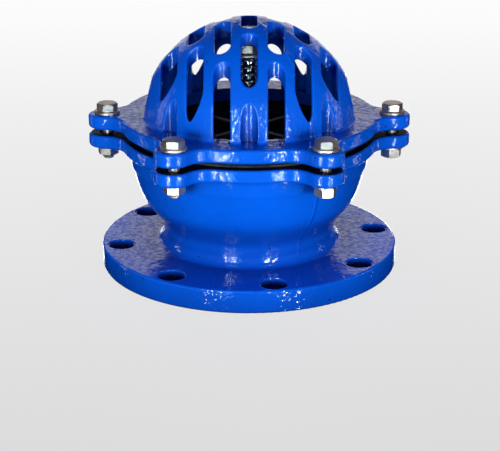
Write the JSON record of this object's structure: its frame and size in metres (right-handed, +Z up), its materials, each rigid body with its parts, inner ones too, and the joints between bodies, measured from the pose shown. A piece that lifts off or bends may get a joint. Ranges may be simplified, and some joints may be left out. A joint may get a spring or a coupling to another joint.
{
  "type": "foot valve",
  "caption": "Flanged foot valve with a slotted strainer dome bolted to a cast body; inside, a spring-loaded disc on a guided stem opens along the axis.",
  "frame": {"origin": "centre of the outlet flange's sealing face, the lowest plane", "axes": "+Z up along the valve axis from the outlet flange to the strainer dome; one joint bolt lies on +X; slots are long along Y"},
  "size_m": [0.2932, 0.273, 0.2317],
  "materials": {
    "blue_paint": "thick glossy epoxy coating over cast iron",
    "stainless_fastener": "plain stainless, slightly worn",
    "polished_steel": "polished",
    "disc_steel": "machined",
    "spring_steel": "drawn wire",
    "seat_bronze": "cast and machined bronze",
    "guide_bronze": "turned bronze",
    "seal_rubber": "matt",
    "gasket_rubber": "matt"
  },
  "bodies": {
    "casing": {"valve_body": "blue_paint", "strainer_cover": "blue_paint", "seat_guide": "seat_bronze", "guide_bush": "guide_bronze", "seat_gasket": "gasket_rubber", "cover_gasket": "gasket_rubber", "closing_spring": "spring_steel", "cover_bolt_1": "stainless_fastener", "cover_bolt_2": "stainless_fastener", "cover_bolt_3": "stainless_fastener", "cover_bolt_4": "stainless_fastener", "cover_bolt_5": "stainless_fastener", "cover_bolt_6": "stainless_fastener", "bolt_washer_1": "stainless_fastener", "bolt_washer_2": "stainless_fastener", "bolt_washer_3": "stainless_fastener", "bolt_washer_4": "stainless_fastener", "bolt_washer_5": "stainless_fastener", "bolt_washer_6": "stainless_fastener", "nut_washer_1": "stainless_fastener", "nut_washer_2": "stainless_fastener", "nut_washer_6": "stainless_fastener", "cover_nut_1": "stainless_fastener", "cover_nut_2": "stainless_fastener", "cover_nut_3": "stainless_fastener", "cover_nut_4": "stainless_fastener", "cover_nut_5": "stainless_fastener", "cover_nut_6": "stainless_fastener"},
    "disc_assembly": {"valve_stem": "polished_steel", "valve_disc": "disc_steel", "disc_seal": "seal_rubber", "seal_plate": "disc_steel", "disc_washer": "stainless_fastener", "disc_nut": "stainless_fastener", "disc_lock_nut": "stainless_fastener", "spring_washer": "stainless_fastener", "stem_nut": "stainless_fastener"}
  },
  "joints": [
    {"name": "disc_stroke", "type": "slide", "parent": "casing", "child": "disc_assembly", "axis": [0, 0, -1], "range_m": [0, 0.0325], "stiffness_N_per_m": 900, "springref_m": -0.02, "deforming": ["closing_spring"]}
  ]
}
